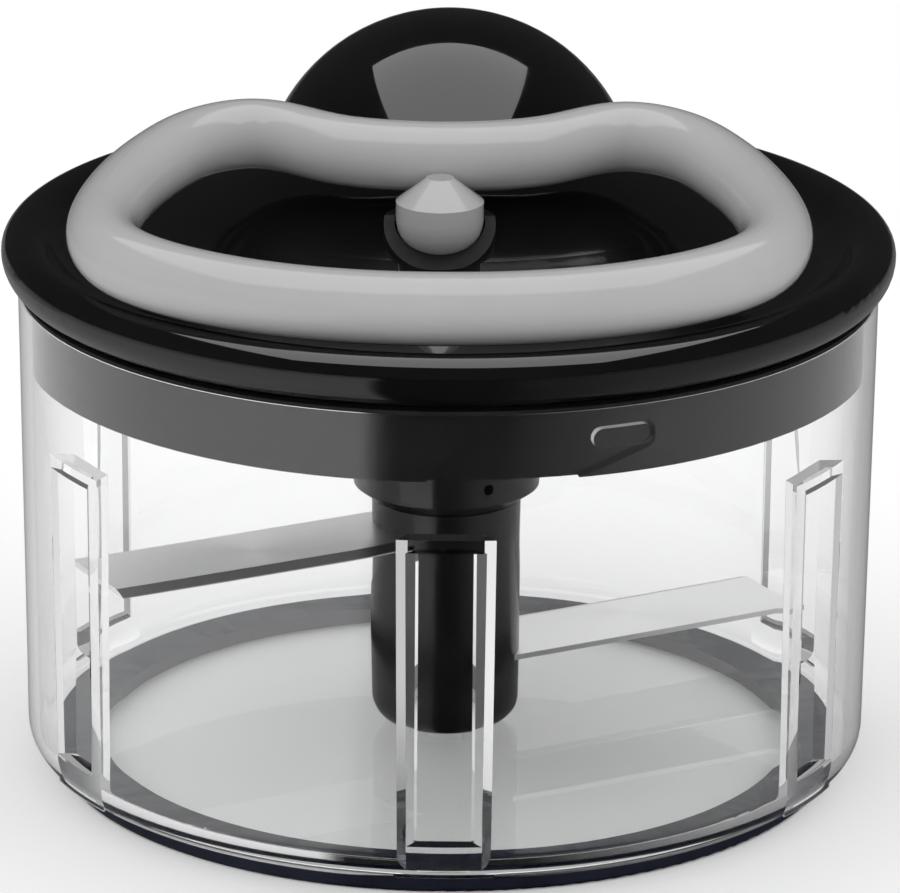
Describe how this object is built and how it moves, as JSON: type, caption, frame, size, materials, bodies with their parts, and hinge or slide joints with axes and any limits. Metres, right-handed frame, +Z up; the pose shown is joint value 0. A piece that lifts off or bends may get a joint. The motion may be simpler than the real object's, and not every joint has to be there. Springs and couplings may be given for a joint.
{
  "type": "hand food chopper",
  "caption": "Round pull-cord food chopper: clear fluted bowl, bladed centre column, black bayonet lid with a domed palm rest and a grey loop handle on its cord.",
  "frame": {"origin": "on the bowl's axis, on the surface that the foot ring stands on", "axes": "+Z up along the bowl's axis; -Y is the front, where the handle's wide bar is; the palm dome is towards +Y"},
  "size_m": [0.1594, 0.1594, 0.1277],
  "materials": {
    "clear_plastic": "clear, polished",
    "navy_rubber": "satin, ribbed moulding",
    "black_gloss": "high gloss",
    "dark_grey_plastic": "satin",
    "grey_gloss": "gloss",
    "black_satin": "satin",
    "blade_steel": "brushed along the blade, ground edge",
    "pin_steel": "turned",
    "bronze": "plain sintered",
    "white_plastic": "plain",
    "cord_fibre": "braided",
    "seal_rubber": "translucent"
  },
  "bodies": {
    "bowl": {"container": "clear_plastic", "base_ring": "navy_rubber", "pivot_pin": "pin_steel"},
    "blade_unit": {"blade_column": "black_satin", "column_foot": "black_satin", "pivot_bush": "bronze", "drive_socket": "dark_grey_plastic", "upper_blade": "blade_steel", "lower_blade": "blade_steel"},
    "lid_carrier": {"lid_seal": "seal_rubber"},
    "lid": {"lid_top_shell": "black_gloss", "lid_skirt": "dark_grey_plastic", "lid_screws": "pin_steel", "shaft_bush": "bronze", "reel_cover": "white_plastic", "cord_outlet": "black_gloss"},
    "reel": {"cord_reel": "white_plastic", "cord_winding": "cord_fibre", "spiral_spring": "pin_steel", "clutch_pawls": "white_plastic"},
    "drive": {"drive_shaft": "dark_grey_plastic", "ratchet_wheel": "white_plastic", "shaft_collar": "white_plastic"},
    "handle": {"handle_loop": "grey_gloss", "cord_plug": "grey_gloss", "pull_cord": "cord_fibre"}
  },
  "joints": [
    {"name": "blade_spin", "type": "hinge", "parent": "bowl", "child": "blade_unit", "pos_m": [0, 0, 0.02], "axis": [0, 0, 1], "range_deg": [0, 1840]},
    {"name": "lid_lift", "type": "slide", "parent": "bowl", "child": "lid_carrier", "axis": [0, 0, 1], "range_m": [0, 0.01]},
    {"name": "lid_turn", "type": "hinge", "parent": "lid_carrier", "child": "lid", "pos_m": [0, 0, 0.09], "axis": [0, 0, 1], "range_deg": [0, 24.5]},
    {"name": "reel_spin", "type": "hinge", "parent": "lid_carrier", "child": "reel", "pos_m": [0, 0, 0.085], "axis": [0, 0, 1], "range_deg": [0, 1840]},
    {"name": "shaft_spin", "type": "hinge", "parent": "lid_carrier", "child": "drive", "pos_m": [0, 0, 0.06], "axis": [0, 0, 1], "range_deg": [0, 1840]},
    {"name": "handle_pull", "type": "slide", "parent": "lid", "child": "handle", "axis": [0, 0, 1], "range_m": [0, 0.32]}
  ],
  "couplings": [
    {"joint": "lid_turn", "follows": "lid_lift", "rad_per_m": 42.401},
    {"joint": "reel_spin", "follows": "handle_pull", "rad_per_m": 100},
    {"joint": "shaft_spin", "follows": "handle_pull", "rad_per_m": 100},
    {"joint": "blade_spin", "follows": "handle_pull", "rad_per_m": 100}
  ]
}
